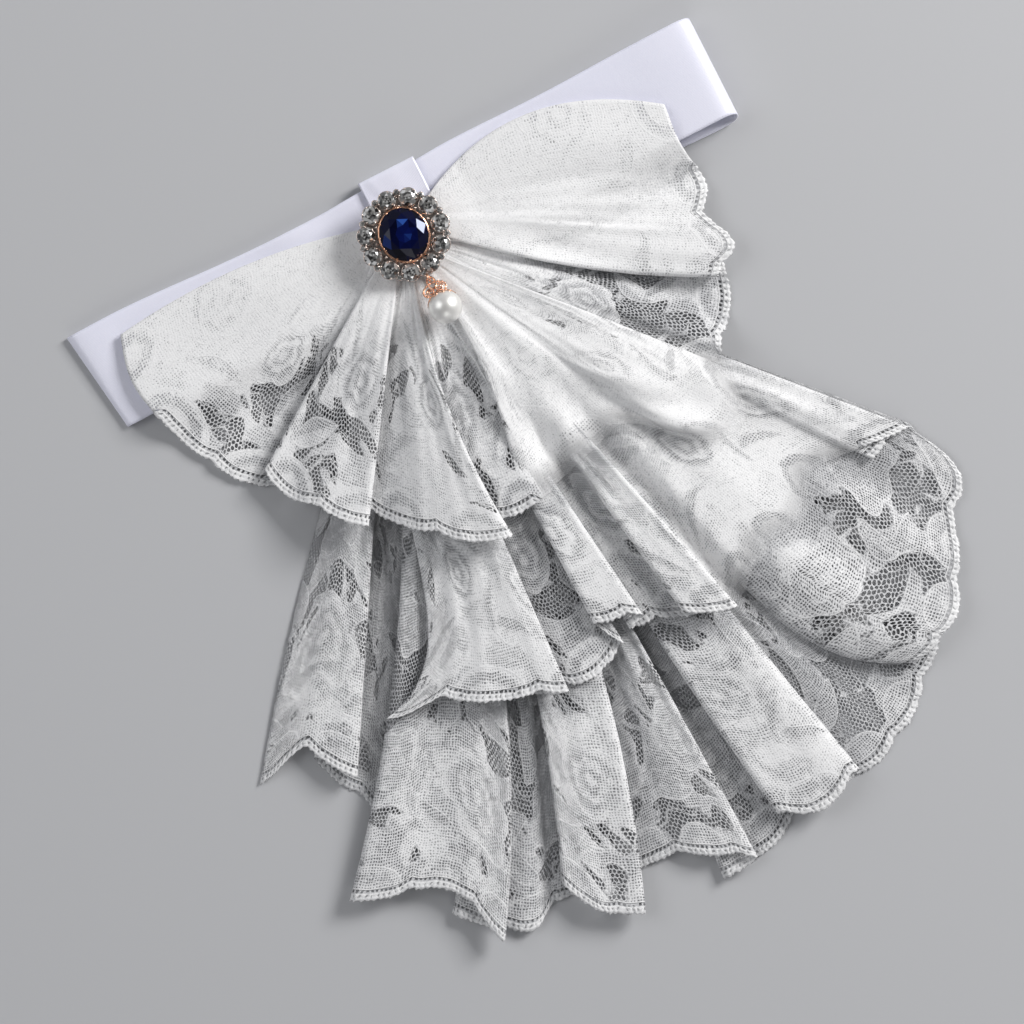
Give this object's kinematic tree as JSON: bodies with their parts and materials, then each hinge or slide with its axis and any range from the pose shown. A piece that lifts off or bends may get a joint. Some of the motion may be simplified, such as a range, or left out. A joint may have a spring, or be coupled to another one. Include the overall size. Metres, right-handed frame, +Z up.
{
  "type": "lace jabot collar",
  "caption": "White jabot collar laid flat: a folded satin neck loop, tiers of gathered pleated lace, and a jewelled oval brooch with a pearl drop.",
  "frame": {"origin": "on the surface the collar lies on, under the middle of the neck band", "axes": "+X along the flattened neck band, +Y towards the neck side of the band and away from the frills, +Z up from the surface"},
  "size_m": [0.2123, 0.2174, 0.021],
  "materials": {
    "satin": "bluish-white satin ribbon, soft sheen",
    "lace": "white floral lace on fine net, matt",
    "rose_gold": "polished rose-gold plate",
    "crystal": "clear faceted glass, foiled back",
    "blue_stone": "dark blue faceted glass",
    "pearl": "warm white pearl coating"
  },
  "bodies": {
    "root": {"neck_band": "satin", "centre_wrap": "satin", "upper_frill": "lace", "middle_frill": "lace", "lower_frill": "lace", "brooch_plate": "rose_gold", "bezel": "rose_gold", "centre_stone": "blue_stone", "rhinestone_01": "crystal", "rhinestone_02": "crystal", "rhinestone_03": "crystal", "rhinestone_04": "crystal", "rhinestone_05": "crystal", "rhinestone_06": "crystal", "rhinestone_07": "crystal", "rhinestone_08": "crystal", "rhinestone_09": "crystal", "rhinestone_10": "crystal", "rhinestone_11": "crystal", "pendant_eye": "rose_gold"},
    "pendant": {"link": "rose_gold", "pearl_cap": "rose_gold", "pearl": "pearl"}
  },
  "joints": [
    {"name": "pendant_lift", "type": "hinge", "parent": "root", "child": "pendant", "pos_m": [0.0006, -0.0153, 0.0118], "axis": [-1, 0, 0], "range_deg": [0, 90]}
  ]
}
